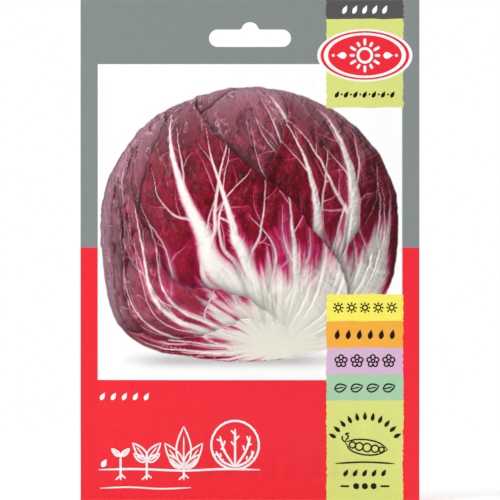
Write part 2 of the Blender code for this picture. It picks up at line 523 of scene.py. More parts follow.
def growth_stages():
    """A seed, a sprout, a seedling, a rosette and a head along the ground."""
    ground = TITLE_GROUND
    soil = [(-59, ground), (-44, ground + 0.3), (-26, ground - 0.3), (-10, ground + 0.3), (4, ground)]
    strokes = [pen(soil, TITLE_PEN), drop((-56.8, ground + 2.6), 3.6, 1.05, SEED_LEAN)]
    for x, stem, leaves in (
        (-50.4, 5.4, ((150, 4.6, -10), (30, 4.6, 10))),
        (-40.2, 3.4, ((165, 6.0, -16), (15, 6.0, 16), (120, 9.0, 8), (60, 9.0, -8))),
        (-25.8, 1.0, ((160, 8.0, -20), (20, 8.0, 20), (132, 12.0, -4), (48, 12.0, 4), (90, 16.0, 0))),
    ):
        foot, top = (x, ground), (x, ground + stem)
        strokes.append(pen([(x, ground - 4.0), foot, top], TITLE_PEN))
        for depth, angle in ((1.6, -42), (2.2, -138)):
            root = (x, ground - depth)
            strokes.append(pen([root, at(root, angle, 2.6)], TITLE_FINE_PEN))
        for angle, length, bend in leaves:
            strokes += drawn_leaf(top, angle, length, 0.36 * length, TITLE_FINE_PEN, bend)
    radius = 9.3
    head = (-5.8, ground + radius + 0.4)
    strokes.append(ring(head, radius, TITLE_PEN, -100, 380, 1.02))
    foot = at(head, -90, 0.93 * radius)
    for angle in (140, 116, 90, 64, 40):
        reach = 1.62 * radius * math.sin(math.radians(angle))
        bow = (angle - 90) * 0.3
        strokes.append(pen([foot, at(foot, angle + bow, reach * 0.55), at(foot, angle, reach)], TITLE_PEN))
        for side, share in ((1, 0.55), (-1, 0.70), (1, 0.84)):
            root = at(foot, angle + bow * (1 - share), reach * share)
            strokes.append(pen([root, at(root, angle + 42 * side, 0.16 * reach)], TITLE_FINE_PEN))
    return strokes


def title_ornaments():
    """White drawings on the red foot of the packet."""
    strokes = growth_stages()
    strokes += row(lambda spot: [drop(spot, 3.4, 0.85, SEED_LEAN)], 5, 4.3, (-48.8, -145.8))
    strokes.append(pen([(-58.5, -181.6), (-47, -181.2), (-35, -181.8), (-23, -181.4)], 0.3))
    return strokes


def header_seeds():
    """White seeds on the dark tab."""
    return row(lambda spot: [drop(spot, 3.8, 0.86, 65)], 5, 3.9, (44.8, 4.9))


def badge_sun():
    """A white sun between seeds, on the badge."""
    x, z = BADGE
    strokes = sun(BADGE, 2.7, BADGE_PEN, 12)
    for side, angle in ((-1, 180), (1, 0)):
        strokes.append(drop((x + side * 9.0, z), 3.9, 1.3, angle))
        strokes.append(ring((x + side * 12.3, z), 0.30, 0.26))
    return strokes


def small_leaf(spot):
    """A little leaf round the spot."""
    return drawn_leaf((spot[0] - 2.5, spot[1] - 0.6), 8, 5.0, 3.0, TAB_PEN, 6)


def tab_drawings():
    """Dark drawings on the coloured tabs: seeds, suns, drops, flowers, leaves and a pea pod."""
    middle = sum(TABS_X) / 2
    yellow, orange, lilac, mint = (sum(span) / 2 for span in (YELLOW_Z, ORANGE_Z, LILAC_Z, MINT_Z))
    strokes = []
    for motif, count, pitch, height in (
        (lambda spot: [drop(spot, 3.0, 0.74, SEED_LEAN)], 7, 3.6, TAB_SEEDS_Z),
        (lambda spot: [ring(spot, 0.22, 0.18)], 6, 3.6, TAB_SEEDS_Z),
        (lambda spot: sun(spot, 0.95, TAB_PEN, 8), 5, 5.2, yellow),
        (lambda spot: [drop(spot, 4.0, 0.98, 80)], 6, 4.3, orange),
        (lambda spot: flower(spot, 2.35, TAB_PEN), 4, 6.2, lilac),
        (small_leaf, 4, 6.3, mint),
        (lambda spot: [drop(spot, 3.2, 0.80, SEED_LEAN)], 5, 3.7, LOWER_SEEDS_Z),
        (lambda spot: [ring(spot, 0.62, 0.56)], 3, 3.4, DOTS_Z),
    ):
        strokes += row(motif, count, pitch, (middle, height))
    for k in range(11):
        angle = 152 - 12.4 * k
        strokes.append(drop(at((middle, -167.8), angle, 14.4), 3.4, 0.74, angle))
    strokes += pea_pod((middle + 0.4, -165.3), 0.88, TAB_PEN)
    strokes.append(pen([(middle - 11.5, -171.9), (middle, -171.4), (middle + 11.5, -172.0)], 0.32))
    for side in (-1, 1):
        strokes.append(pen([(middle + side * 6.0, DOTS_Z), (middle + side * 9.6, DOTS_Z)], 0.36))
    return strokes


def pea_pod(centre, size, half):
    """An open pod with its peas."""
    def placed(x, z):
        return (centre[0] + size * x, centre[1] + size * z)

    outlines = (
        ((-9.2, 1.9), (-4.5, 3.1), (1.0, 2.9), (6.0, 1.5), (9.6, -1.4)),
        ((-9.2, 1.9), (-6.5, -1.8), (-0.5, -3.7), (5.5, -3.4), (9.6, -1.4)),
        ((-9.2, 1.9), (-10.6, 3.4), (-10.2, 4.8)),
        ((-9.4, 2.2), (-7.8, 4.4), (-9.0, 5.6), (-7.2, 6.0)),
    )
    peas = ((-6.0, 0.7, 1.35), (-3.0, 0.0, 1.7), (0.5, -0.5, 1.85), (4.0, -1.0, 1.6), (6.9, -1.4, 1.15))
    strokes = [pen([placed(x, z) for x, z in outline], half) for outline in outlines]
    return strokes + [ring(placed(x, z), size * radius, half) for x, z, radius in peas]


def back_drawings():
    """Dark rules, a strip of twelve months and a planting sketch for the back."""
    strokes = []
    for k in range(9):
        height = BACK_LINES_TOP - BACK_LINE_PITCH * k
        width = 46 if k % 4 != 3 else 24
        for start in (-50, 4):
            strokes.append(pen([(start, height), (start + width, height)], BACK_PEN))
    low, high = MONTHS_Z
    for k in range(3):
        height = low + (high - low) * k / 2
        strokes.append(pen([(-6 * MONTH_CELL, height), (6 * MONTH_CELL, height)], 0.2))
    for k in range(13):
        x = (k - 6) * MONTH_CELL
        strokes.append(pen([(x, low), (x, high)], 0.2))
    ground = BACK_GROUND
    soil = [(-50, ground), (-25, ground + 0.4), (0, ground), (25, ground - 0.4), (50, ground)]
    strokes.append(pen(soil, 0.3))
    for k in range(5):
        foot = (-40 + 20 * k, ground)
        for angle, length, bend in ((150, 7.0, -20), (30, 7.0, 20), (112, 9.0, 6), (70, 8.8, -6)):
            strokes += drawn_leaf(foot, angle, length, 3.2, BACK_PEN, bend)
        strokes.append(pen([foot, at(foot, -90, 4.5)], BACK_PEN))
    for k in range(4):
        strokes.append(pen([(-38 + 20 * k, ground - 7), (-22 + 20 * k, ground - 7)], 0.18))
    return strokes


def month_marks():
    """Filled sowing months on the back's strip."""
    height = MONTHS_Z[1] - 2.5
    starts = [MONTH_CELL * (k - 6) for k in SOWING_MONTHS]
    return [[(x + 1.0, height, 1.7), (x + MONTH_CELL - 1.0, height, 1.7)] for x in starts]


def draw(name, strokes, side, seed):
    """The strokes as one thin piece that lies on the film."""
    curve = bpy.data.curves.new(name, "CURVE")
    curve.dimensions = "3D"
    curve.twist_mode = "Z_UP"
    curve.extrude = MM
    for stroke in strokes:
        spline = curve.splines.new("POLY")
        spline.points.add(len(stroke) - 1)
        for point, (x, z, half) in zip(spline.points, stroke):
            point.co = (-side * x * MM, z * MM, 0, 1)
            point.radius = half
            point.tilt = math.radians(90)
    drawing = bpy.data.objects.new(name, curve)
    bpy.context.scene.collection.objects.link(drawing)
    only(drawing)
    drawing.rotation_euler.x = math.radians(90)
    bpy.ops.object.convert(target="MESH")
    bpy.ops.object.transform_apply(location=True, rotation=True, scale=True)
    points = coordinates(drawing.data)
    points[:, 1] = side * (film_height(points[:, 0], points[:, 2], seed) + INK_LIFT)
    place_vertices(drawing.data, points)
    bm = bmesh.new()
    bm.from_mesh(drawing.data)
    bmesh.ops.reverse_faces(bm, faces=[face for face in bm.faces if face.normal.y * side < 0])
    bm.to_mesh(drawing.data)
    bm.free()
    return drawing


# Picture of the head on the front: leaves laid round a ball from its stem, from the back to the front

HEAD_CENTRE = (0.0, -78.7 * MM)
HALF_WIDTH = 0.0581
HALF_HEIGHT = 0.0535
HEAD_DEPTH = 0.056
PICTURE_X = 59.2 * MM
PICTURE_Z = (-138.2 * MM, -23.5 * MM)
CELL = 0.0045
U_LOW, U_HIGH = -2.5, 2.3
V_LOW, V_HIGH = -1.7, 2.75

# The way the head's stem points: down, a little to the right and towards the viewer
STEM = np.array([0.16, -0.88, 0.44])
STEM /= np.linalg.norm(STEM)

WINE_DARK = linear(62, 0, 10)
WINE = linear(106, 0, 22)
CRIMSON = linear(158, 8, 52)
MAGENTA = linear(196, 52, 112)
PALE = linear(236, 196, 204)
CREAM = linear(252, 248, 238)
BASE = linear(250, 247, 232)
# Greyish mauve of the painted sheen and highlights, and of the pale tint that milky leaves have all over
SHEEN_AND_BLOOM = linear(188, 146, 162)


def blur(field, sigma):
    """Gaussian blur, sigma in cells."""
    rows, cols = field.shape
    across = np.fft.rfftfreq(cols)[None, :]
    down = np.fft.fftfreq(rows)[:, None]
    gain = np.exp(-2 * (math.pi * sigma) ** 2 * (down**2 + across**2))
    return np.fft.irfft2(np.fft.rfft2(field) * gain, s=field.shape).astype(np.float32)


U, V = np.meshgrid(
    np.arange(U_LOW, U_HIGH, CELL, dtype=np.float32), np.arange(V_LOW, V_HIGH, CELL, dtype=np.float32)
)
RADIUS = np.hypot(U, V)
AZIMUTH = np.arctan2(V, U)

# How a vein grows, by its level: ribs, side veins, veinlets and net
Vein = namedtuple("Vein", "step wander gap angle width length strength")
VEINS = (
    Vein(0.030, 0.028, (0.11, 0.22), 0.55, 0.22, 0.60, 1.0),
    Vein(0.024, 0.120, (0.09, 0.18), 0.80, 0.50, 0.50, 0.88),
    Vein(0.018, 0.150, (0.05, 0.10), 0.95, 0.60, 0.55, 0.52),
    Vein(0.014, 0.220, None, 0.0, 0.0, 0.0, 0.28),
)
OCCUPIED = 0.016

# Relief of a leaf, in metres: the swell between its veins, its ribs, rim and fine net, the streaks in its
# white foot, and its crinkles, folds and pores
BULGE_RISE, RIB_RISE, LIP_RISE, NET_RISE = 0.0021, 0.032, 0.0011, 0.00022
STREAK_RISE, CRINKLE_RISE, FOLD_RISE, PORE_RISE = 0.0019, 0.0005, 0.0022, 0.00022
HOLLOW_DEPTH = 0.0011

# How far the white of the stem reaches up the leaves, and the way that it reaches furthest, in degrees
WHITE_REACH = 0.34
WHITE_WAY = 42

# The picture's own light, from the upper left, and the shadow under the head
PICTURE_LIGHT = np.array([-0.40, 0.60, 0.69])
GROUND_Z = -0.0530
GROUND_DARKNESS = 0.45

# Leaves from the back to the front. degrees is the way that a leaf points from the stem, milk its painted
# dull sheen and pale tint
Leaf = namedtuple("Leaf", "degrees spread length rib lean milk fold seed")
LEAVES = (
    Leaf(-90, 1.1, 1.6, 0.08, 0.00, 0.2, 0.3, 10),
    Leaf(-150, 0.9, 2.3, 0.08, 0.00, 1.2, 1.0, 16),
    Leaf(-30, 0.8, 2.2, 0.08, 0.00, 0.4, 0.3, 17),
    Leaf(172, 0.95, 2.6, 0.070, -0.10, 1.3, 1.0, 11),
    Leaf(80, 1.5, 3.2, 0.100, 0.00, 1.3, 0.9, 18),
    Leaf(10, 0.80, 2.6, 0.140, 0.20, 0.50, 0.8, 12),
    Leaf(58, 0.74, 2.75, 0.180, 0.10, 0.05, 0.5, 15),
    Leaf(24, 0.36, 2.10, 0.170, 0.16, 0.10, 0.5, 33),
    Leaf(128, 0.60, 2.65, 0.140, 0.05, 0.02, 0.8, 14),
    Leaf(204, 0.36, 1.55, 0.060, -0.42, 0.5, 3.0, 21),
    Leaf(182, 0.24, 1.90, 0.045, -0.22, 0.9, 3.5, 23),
    Leaf(218, 0.17, 1.30, 0.040, -0.05, 0.3, 4.5, 27),
)


def round_noise(seed, angle, scale, octaves, turn=1, offset=30):
    """Noise round the stem, so that its streaks run out from it."""
    across, up = scale * np.cos(angle) * turn + offset, scale * np.sin(angle) * turn + offset
    return fractal(seed, across, up, octaves)


def grow_veins(leaf):
    """Strokes of a leaf's ribs and of all that branches from them. A vein ends where it meets another."""
    rng = np.random.default_rng(leaf.seed)
    taken = {}
    strokes = []
    direction, length, bend = math.radians(leaf.degrees), 0.97 * leaf.length, 1.7 * leaf.lean
    start = (0.03 * math.cos(direction), 0.03 * math.sin(direction))
    queue = deque([(start, direction, length, leaf.rib, bend, 0, 0)])
    for side in (-1, 1):
        for turn, reach, width in ((0.40, 0.78, 0.62), (0.86, 0.55, 0.50)):
            curl = bend - 0.15 * turn * side
            queue.append((start, direction + turn * side, reach * length, width * leaf.rib, curl, 0, 0))
    name = 0
    while queue:
        point, heading, reach, base, curl, level, parent = queue.popleft()
        name += 1
        vein = VEINS[level]
        steps = max(3, int(reach / vein.step))
        drift, walked = 0.0, 0.0
        side = int(rng.choice([-1, 1]))
        gap = rng.uniform(*vein.gap) if vein.gap else math.inf
        for i in range(steps):
            t = i / steps
            drift = 0.6 * drift + rng.normal(0, vein.wander)
            heading += curl * vein.step + drift * 0.45
            end = (point[0] + vein.step * math.cos(heading), point[1] + vein.step * math.sin(heading))
            key = (int(end[0] / OCCUPIED), int(end[1] / OCCUPIED))
            half = base * (1 - t) ** (1.5 if level == 0 else 1.0) + 0.0012
            strokes.append((*point, *end, half, level))
            met = taken.get(key, name)
            if i > 2 and level > 0 and met not in (name, parent):
                break
            taken[key] = name
            if level < 2 and half > 0.006 and math.hypot(*point) > 0.35:
                for way in (-1, 1):
                    strokes.append(barb(rng, point, heading, half, way))
            point = end
            walked += vein.step
            if walked > gap and t < 0.9:
                walked = 0.0
                gap = rng.uniform(*vein.gap) * (1 + 0.8 * t)
                angle = vein.angle * rng.uniform(0.75, 1.25)
                queue.append(
                    (
                        point,
                        heading + side * angle,
                        reach * (1 - t) ** 0.8 * vein.length * rng.uniform(0.7, 1.15),
                        half * vein.width * rng.uniform(0.7, 1.2),
                        side * (0.15, -0.20, 0)[level],
                        level + 1,
                        name,
                    )
                )
                side = -side
    return strokes


def barb(rng, point, heading, half, way):
    """A short pale streak that runs out of a rib's side."""
    foot_heading = heading + way * math.pi / 2
    foot = (point[0] + 0.6 * half * math.cos(foot_heading), point[1] + 0.6 * half * math.sin(foot_heading))
    lean = heading + way * rng.uniform(0.22, 0.75)
    reach = rng.uniform(0.5, 2.2) * min(half, 0.03) + 0.5 * half + 0.008
    end = (foot[0] + reach * math.cos(lean), foot[1] + reach * math.sin(lean))
    return (*foot, *end, rng.uniform(0.08, 0.20) * min(half, 0.04) + 0.0010, 1.5)


def stamp(strokes):
    """Whiteness and ridge height of the veins, and the gap to the nearest strong one."""
    white = np.zeros(U.shape, np.float32)
    ridge = np.zeros(U.shape, np.float32)
    gap = np.full(U.shape, 0.11, np.float32)
    for x0, y0, x1, y1, half, level in strokes:
        plain = level == int(level)
        reach = max(half * 2.4, (0.11, 0.11, 0.05, 0.0)[level] if plain else 0) + CELL
        c0, c1 = (int((f(x0, x1) + k * reach - U_LOW) / CELL) + (k > 0) for f, k in ((min, -1), (max, 1)))
        r0, r1 = (int((f(y0, y1) + k * reach - V_LOW) / CELL) + (k > 0) for f, k in ((min, -1), (max, 1)))
        c0, r0 = max(c0, 0), max(r0, 0)
        if c1 <= c0 or r1 <= r0:
            continue
        window = np.s_[r0:r1, c0:c1]
        uu, vv = U[window], V[window]
        dx, dy = x1 - x0, y1 - y0
        along = np.clip(((uu - x0) * dx + (vv - y0) * dy) / (dx * dx + dy * dy), 0, 1)
        away = np.hypot(uu - x0 - along * dx, vv - y0 - along * dy)
        # a fine vein is drawn no narrower than the map can hold, and paler for it
        drawn = max(half, 0.8 * CELL)
        strength = (VEINS[level].strength if plain else 0.8) * min(1.0, 0.35 + 0.65 * half / drawn)
        if not plain:
            drawn = drawn * (1.15 - 0.9 * along)
            strength = strength * (1 - 0.6 * along)
        white[window] = np.maximum(white[window], strength * (1 - smooth(0.45, 1.7, away / drawn)))
        if plain:
            ridge[window] = np.maximum(ridge[window], half * np.clip(1 - (away / (1.7 * half)) ** 2, 0, 1))
            if level < 3:
                gap[window] = np.minimum(gap[window], np.maximum(away - half, 0) + 0.02 * max(level - 1, 0))
    return white, ridge, gap


def leaf_edge(leaf):
    """Distance inside a leaf's edge on the map, negative outside it."""
    direction = math.radians(leaf.degrees)
    along = U * math.cos(direction) + V * math.sin(direction)
    across = -U * math.sin(direction) + V * math.cos(direction) - leaf.lean * along**2
    t = np.clip(along / leaf.length, 0, 1)
    half = leaf.spread * np.clip(np.sin(math.pi * t**0.6), 0, 1) ** 0.7 + 0.25 * (1 - t)
    side = np.sign(across) * 7 + 20
    ruffle = 0.08 * fractal(leaf.seed, along * 2.6 + 9, side, 2)
    frill = 0.006 * (1 + leaf.fold) * fractal(leaf.seed + 5, along * 14 + 9, side, 2)
    edge = half + ruffle + frill - np.abs(across)
    return np.where((along > -0.12) & (along < leaf.length), edge, -1).astype(np.float32)


def ramp(value, stops):
    """Colour along a list of (place, colour) stops."""
    out = np.broadcast_to(stops[0][1], value.shape + (3,)).astype(np.float32).copy()
    for (low, a), (high, b) in zip(stops, stops[1:]):
        share = np.clip((value - low) / (high - low), 0, 1)[..., None]
        out = np.where(value[..., None] > low, a + (b - a) * share, out)
    return out


def grow_leaves():
    """Maps of whiteness, with a painted highlight on the leaf edges, of relief, of painted shade and of dull
    sheen over the whole ball.
    """
    white = np.zeros(U.shape, np.float32)
    relief = np.zeros(U.shape, np.float32)
    shade = np.ones(U.shape, np.float32)
    sheen = np.zeros(U.shape, np.float32)
    free = smooth(0.22, 0.65, RADIUS)
    outer = smooth(0.3, 1.0, RADIUS)
    near = smooth(0.12, 0.5, RADIUS)
    unit = 0.0045 / CELL
    for leaf in LEAVES:
        edge = leaf_edge(leaf)
        mask = smooth(-0.004, 0.004, edge)
        veins, ridge, gap = stamp(grow_veins(leaf))
        streaks = round_noise(leaf.seed + 40, AZIMUTH, 11, 3, 1 + 0.10 * RADIUS)
        white_reach = WHITE_REACH * np.cos(AZIMUTH - math.radians(WHITE_WAY))
        body = smooth(0.86, 0.42, RADIUS - white_reach + 0.34 * streaks)
        feather = smooth(0.075, 0.0, gap) * smooth(-0.2, 0.5, streaks) * smooth(1.7, 0.4, RADIUS)
        pale = np.maximum(np.maximum(veins, body), 0.8 * feather)

        bulge = np.sqrt(np.clip(gap / 0.11, 0, 1)) * smooth(0.15, 0.8, RADIUS)
        folds = -np.abs(fractal(leaf.seed + 70, U * 4.2, V * 4.2, 3))
        crinkle = fractal(leaf.seed + 60, U * 9, V * 9, 4)
        pores = fractal(leaf.seed + 65, U * 44, V * 44, 2)
        net = smooth(0.14, 0.0, np.abs(fractal(leaf.seed + 75, U * 12, V * 12, 2))) * outer
        lip = smooth(0.10, 0.0, edge) * free
        height = BULGE_RISE * bulge + RIB_RISE * ridge * free + LIP_RISE * lip + NET_RISE * net
        height += STREAK_RISE * streaks * body * near
        creasing = CRINKLE_RISE * (1 + leaf.milk) * crinkle + FOLD_RISE * leaf.fold * folds
        height += (creasing + PORE_RISE * pores) * outer
        pale = np.maximum(pale, (0.12 + 0.10 * leaf.milk) * net)
        # A pale line all along each leaf's edge: a painted highlight on the edge
        rim = smooth(0.006, 0.0, edge) * mask
        # Painted shadow that each leaf casts on the leaves behind it: a dark band close to its edge and a
        # wider, fainter one
        cast_shadow = np.clip(1.9 * blur(mask, 9 * unit), 0, 1) * free
        wide_shadow = np.clip(1.6 * blur(mask, 26 * unit), 0, 1) * free
        shade = shade * (1 - 0.76 * cast_shadow) * (1 - 0.30 * wide_shadow) * (1 - mask) + mask
        white = white * (1 - mask) + np.maximum(pale, 0.25 * rim) * mask
        relief = relief * (1 - mask) + height * mask
        sheen = sheen * (1 - mask) + leaf.milk * mask
    # Painted shade in the hollows of the relief, and a little painted light on its crests
    hollow = np.clip((blur(relief, 7 * unit) - relief) / HOLLOW_DEPTH, -1, 1)
    shade = shade * (1 - 0.42 * np.clip(hollow, 0, 1)) * (1 + 0.10 * np.clip(-hollow, 0, 1))
    return white, relief, shade, sheen


def sample(field, u, v):
    """A map's values at places on it."""
    x = np.clip((u - U_LOW) / CELL, 0, field.shape[1] - 2)
    y = np.clip((v - V_LOW) / CELL, 0, field.shape[0] - 2)
    column, row = x.astype(int), y.astype(int)
    fx, fy = x - column, y - row
    below = field[row, column] * (1 - fx) + field[row, column + 1] * fx
    above = field[row + 1, column] * (1 - fx) + field[row + 1, column + 1] * fx
    return below * (1 - fy) + above * fy


def head_outline(angle):
    """How far the head reaches at an angle, as a share of its half sizes."""
    squareness = 1 + 0.032 * (1 - np.cos(4 * angle)) * smooth(0.3, -0.5, np.sin(angle))
    loose_corner = 0.085 * np.exp(-(((angle + 2.36) / 0.30) ** 2))
    ruffle = 0.014 * round_noise(3, angle, 2.6, 4, offset=9)
    ruffle += 0.012 * np.maximum(0, round_noise(4, angle, 14, 2))
    ruffle += 0.005 * round_noise(6, angle, 24, 3) * smooth(-0.8, 0.2, np.sin(angle))
    return squareness + loose_corner + ruffle


def round_stem(point):
    """Angle from the stem and angle round it, of points on the ball."""
    up = np.array([0, 1, 0]) - STEM[1] * STEM
    up /= np.linalg.norm(up)
    right = np.cross(up, STEM)
    theta = np.arccos(np.clip(np.tensordot(STEM, point, 1), -1, 1))
    return theta, np.arctan2(np.tensordot(up, point, 1), np.tensordot(right, point, 1))


def red_and_white(u, v, theta, azimuth, w):
    """Mottled wine red, with veins from crimson to cream, and the base's own white."""
    mottle = fractal(80, u * 16, v * 16, 4)
    patches = fractal(90, u * 2.2, v * 2.2, 3)
    red = ramp(0.5 + 0.45 * mottle + 0.50 * patches, ((0.0, WINE_DARK), (0.5, WINE), (1.0, CRIMSON)))
    near_foot = smooth(1.5, 0.5, theta)[..., None]
    red = red * (1 - 0.45 * near_foot) + CRIMSON * 0.45 * near_foot
    veined = ramp(w, ((0.0, WINE), (0.16, CRIMSON), (0.36, MAGENTA), (0.66, PALE), (1.0, CREAM)))
    mix = smooth(0.02, 0.25, w)[..., None]
    colour = red * (1 - mix) + veined * mix
    fibre = round_noise(95, azimuth, 40, 2)
    foot = smooth(0.75, 0.25, theta)[..., None] * smooth(0.6, 0.95, w)[..., None]
    return colour * (1 - foot) + BASE * (1 + 0.05 * fibre[..., None]) * foot


def dull_sheen(colour, u, v, theta, azimuth, w, milk, depth, normal, gloss):
    """Lays painted light over the leaves' colour: a dull sheen at the head's upper left edge, an even pale
    tint on milky leaves, a highlight, and the crinkles' painted light and shade.
    """
    # Painted sheen along the head's edge where it faces the upper left, and an even pale tint on milky leaves
    limb_sheen = (1 - np.clip(depth, 0, 1)) ** 1.8 * smooth(-0.7, 0.7, 0.75 * normal[1] - 0.75 * normal[0])
    dull = np.clip(limb_sheen + 0.30 * milk * (0.3 + 0.7 * limb_sheen), 0, 0.8)
    # crinkles: painted highlight lines where the leaf is dull, painted shade lines between
    crinkle = round_noise(85, azimuth, 9, 4, 1 + 0.25 * theta) + 0.5 * fractal(88, u * 8, v * 8, 4)
    creased = smooth(0.5, 1.0, theta) * smooth(-0.5, 0.3, fractal(86, u * 3.5, v * 3.5, 2))
    crinkle_highlight = smooth(0.09, 0.0, np.abs(crinkle)) * creased
    crinkle_shade = smooth(0.12, 0.0, np.abs(crinkle - 0.16)) * creased
    # The painted sheen, a painted highlight, the painted crinkle highlights and the pale tint are mixed over
    # the colour
    sheen_and_bloom = np.clip(dull * (0.9 - 0.8 * w) + 0.10 * gloss + 1.2 * dull * crinkle_highlight, 0, 0.9)[..., None]
    colour = colour * (1 - sheen_and_bloom) + SHEEN_AND_BLOOM * (1 + 0.55 * crinkle_highlight[..., None]) * sheen_and_bloom
    return colour * (1 - (0.20 + 0.7 * dull) * crinkle_shade * (1 - 0.7 * w))[..., None]


def paint_head():
    """The picture's columns, rows and colours: the head on white, lit and shaded by the picture's own painted
    light, with its painted shadow on the ground.
    """
    white, relief, shade, sheen = grow_leaves()
    columns = np.arange(-PICTURE_X, PICTURE_X, PICTURE_STEP)
    rows = np.arange(*PICTURE_Z, PICTURE_STEP)
    x, z = np.meshgrid(columns - HEAD_CENTRE[0], rows - HEAD_CENTRE[1])
    angle = np.arctan2(z / HALF_HEIGHT, x / HALF_WIDTH)
    rho = np.hypot(x / HALF_WIDTH, z / HALF_HEIGHT) / head_outline(angle)
    held = np.clip(rho, 0, 0.9995)
    point = np.stack([held * np.cos(angle), held * np.sin(angle), np.sqrt(1 - held**2)])
    theta, azimuth = round_stem(point)
    u, v = theta * np.cos(azimuth), theta * np.sin(azimuth)
    w, h, s, milk = (sample(field, u, v) for field in (white, relief, shade, sheen))
    # veins seen edge on are too fine to draw
    w = w * (1 - smooth(0.45, 0.15, point[2]) * smooth(0.7, 1.1, theta))

    gz, gx = np.gradient(HEAD_DEPTH * point[2] + h, PICTURE_STEP)
    size = np.sqrt(gx**2 + gz**2 + 1)
    normal = np.stack([-gx / size, -gz / size, 1 / size])
    diffuse = np.clip(np.tensordot(PICTURE_LIGHT, normal, 1), 0, 1)
    # A painted highlight, where a leaf turns the picture's own light towards the viewer
    half = PICTURE_LIGHT + np.array([0, 0, 1])
    half /= np.linalg.norm(half)
    gloss = np.clip(np.tensordot(half, normal, 1), 0, 1) ** 60
    colour = red_and_white(u, v, theta, azimuth, w)
    colour = dull_sheen(colour, u, v, theta, azimuth, w, milk, point[2], normal, gloss)
    bounce = smooth(0.2, -1.0, normal[1])
    lit = (0.35 + 0.79 * diffuse + 0.50 * bounce) * (0.13 + 0.87 * s)
    colour = colour * lit[..., None]

    # Painted shadow of the head on the white paper under it
    shadow = np.exp(-(((z - GROUND_Z) / 0.0026) ** 2)) * smooth(0.050, 0.022, np.abs(x + 0.006))
    paper_with_shadow = np.ones_like(colour) * (1 - GROUND_DARKNESS * shadow[..., None])
    cut = smooth(1.004, 0.996, rho)[..., None]
    return columns, rows, colour * cut + paper_with_shadow * (1 - cut)


def picture_half(name, columns, colour, x, z):
    """One half of the painted picture as a fine sheet on the film, coloured at its points."""
    rows, count = colour.shape[0], columns.stop - columns.start
    bpy.ops.mesh.primitive_grid_add(x_subdivisions=count - 1, y_subdivisions=rows - 1, size=1)
    sheet = bpy.context.object
    sheet.name = name
    unit = coordinates(sheet.data)
    column = columns.start + np.rint((unit[:, 0] + 0.5) * (count - 1)).astype(int)
    row = np.rint((unit[:, 1] + 0.5) * (rows - 1)).astype(int)
    px, pz = x[column], z[row]
    place_vertices(sheet.data, np.stack([px, -film_height(px, pz, FRONT_SEED) - PICTURE_LIFT, pz], 1))
    ink = np.ones((len(px), 4), np.float32)
    ink[:, :3] = PRINT_WHITE * colour[row, column]
    layer = sheet.data.color_attributes.new(name="picture", type="FLOAT_COLOR", domain="POINT")
    layer.data.foreach_set("color", ink.ravel())
    sheet.data.shade_smooth()
    return sheet


# Seed


def one_seed():
    """A ribbed, wedge-shaped seed along Z: narrow at its foot, broad and blunt at its crown."""
    bpy.ops.mesh.primitive_cylinder_add(vertices=5, radius=0.5, depth=1.0, end_fill_type="TRIFAN")
    grain = bpy.context.object
    bpy.ops.object.mode_set(mode="EDIT")
    bpy.ops.mesh.select_all(action="SELECT")
    bpy.ops.mesh.bisect(plane_co=(0, 0, 0.28), plane_no=(0, 0, 1))
    bpy.ops.object.mode_set(mode="OBJECT")
    points = coordinates(grain.data)
    girth = np.where(points[:, 2] > 0.4, 0.62, np.where(points[:, 2] < 0, 0.30, 1.0))
    points[:, 0] *= SEED_WIDTH * girth
    points[:, 1] *= SEED_THICKNESS * girth
    points[:, 2] *= SEED_LENGTH
    place_vertices(grain.data, points)
    return grain


def seed_places():
    """Middles of the seeds: layers of a hexagonal net between the two webs, all over the heap."""
    places = []
    half_width = POCKET_HALF_WIDTH - FILL_SIDE_MARGIN
    row_step = SEED_SPACING * math.sqrt(3) / 2
    heap_foot = POCKET_FOOT + FILL_FOOT_MARGIN
    for layer in range(-2, 3):
        for row in range(int(FILL_HEIGHT / row_step)):
            z = heap_foot + SEED_LENGTH / 2 + row * row_step
            for column in range(int(2 * half_width / SEED_SPACING)):
                x = -half_width + (column + 0.5 + 0.5 * ((row + layer) % 2)) * SEED_SPACING
                across = x / half_width
                crest = heap_foot + FILL_HEIGHT * (1 - FILL_HEAP * across**2) - SEED_LENGTH / 2
                if abs(across) < 0.98 and z < crest:
                    places.append((x, layer * LAYER_PITCH, z))
    places = np.array(places)
    room = CROWN * membrane(places[:, 0], places[:, 2]) / MEMBRANE_PEAK - SEED_ROOM
    return places[np.abs(places[:, 1]) + SEED_THICKNESS / 2 < room]


def seed_heap():
    """All the seeds as one piece, each turned its own way in its layer."""
    grain = one_seed()
    shape = coordinates(grain.data)
    faces = [tuple(face.vertices) for face in grain.data.polygons]
    bpy.data.objects.remove(grain)
    places = seed_places()
    rng = np.random.default_rng(HEAP_SEED)
    turn = rng.uniform(0, 2 * math.pi, len(places))
    size = rng.uniform(0.85, 1.0, len(places))
    tone = rng.uniform(0, 1, len(places))
    cos, sin = np.cos(turn)[:, None], np.sin(turn)[:, None]
    x = places[:, 0:1] + size[:, None] * (shape[:, 0] * cos + shape[:, 2] * sin)
    y = places[:, 1:2] + size[:, None] * shape[None, :, 1]
    z = places[:, 2:3] + size[:, None] * (shape[:, 2] * cos - shape[:, 0] * sin)
    points = np.stack([x, y, z], 2).reshape(-1, 3)
    first = (np.arange(len(places)) * len(shape)).tolist()
    all_faces = [tuple(v + start for v in face) for start in first for face in faces]
    mesh = bpy.data.meshes.new("seeds")
    mesh.from_pydata(points.tolist(), [], all_faces)
    layer = mesh.attributes.new(name="tone", type="FLOAT", domain="POINT")
    layer.data.foreach_set("value", np.repeat(tone, len(shape)).astype(np.float32))
    seeds = bpy.data.objects.new("seeds", mesh)
    bpy.context.scene.collection.objects.link(seeds)
    return seeds


# Materials


